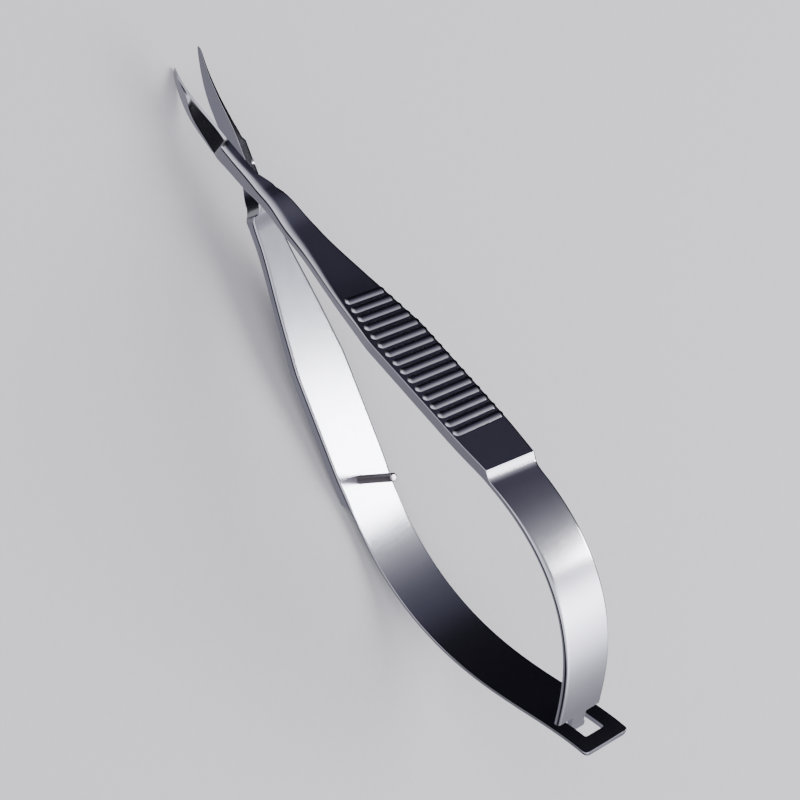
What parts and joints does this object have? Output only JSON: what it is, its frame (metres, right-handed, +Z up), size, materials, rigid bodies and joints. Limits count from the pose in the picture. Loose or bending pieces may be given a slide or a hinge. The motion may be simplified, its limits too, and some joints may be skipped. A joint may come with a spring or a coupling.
{
  "type": "spring-handled nail scissors",
  "caption": "Small stainless nail scissors whose ribbed arms cross at a hidden screw and run on into leaf springs hooked together at the tail by a tongue in a window, with a stop pin between the grips.",
  "frame": {"origin": "bottom centre of the box round the scissors, on the floor on which the near blade's tip and the far arm's step stand", "axes": "+X runs from the blades to the tail, +Y is the pivot's axis towards the side with the screw's head, +Z is up, from the far arm to the near arm"},
  "size_m": [0.1106, 0.009, 0.0403],
  "materials": {
    "satin_steel": "satin",
    "screw_steel": "satin",
    "pin_steel": "satin"
  },
  "bodies": {
    "far_arm": {"slotted_arm": "satin_steel", "stop_pin": "pin_steel"},
    "near_arm": {"tongue_arm": "satin_steel", "pivot_screw": "screw_steel"},
    "near_spring": {"tongue_leaf": "satin_steel"},
    "far_spring": {"slotted_leaf": "satin_steel"}
  },
  "joints": [
    {"name": "pivot", "type": "hinge", "parent": "far_arm", "child": "near_arm", "pos_m": [-0.03762, 0, 0.00732], "axis": [0, 1, 0], "range_deg": [0, 24.3], "stiffness_Nm_per_rad": 0.5},
    {"name": "near_leaf_flex", "type": "hinge", "parent": "near_arm", "child": "near_spring", "pos_m": [0.017, 0, 0.03756], "axis": [0, 1, 0], "range_deg": [-28, 0.1]},
    {"name": "far_leaf_flex", "type": "hinge", "parent": "far_arm", "child": "far_spring", "pos_m": [0.01906, 0, 0.00139], "axis": [0, 1, 0], "range_deg": [-0.1, 35.8]}
  ],
  "couplings": [
    {"joint": "near_leaf_flex", "follows": "pivot", "ratio": -1.146},
    {"joint": "far_leaf_flex", "follows": "pivot", "ratio": 1.465}
  ]
}
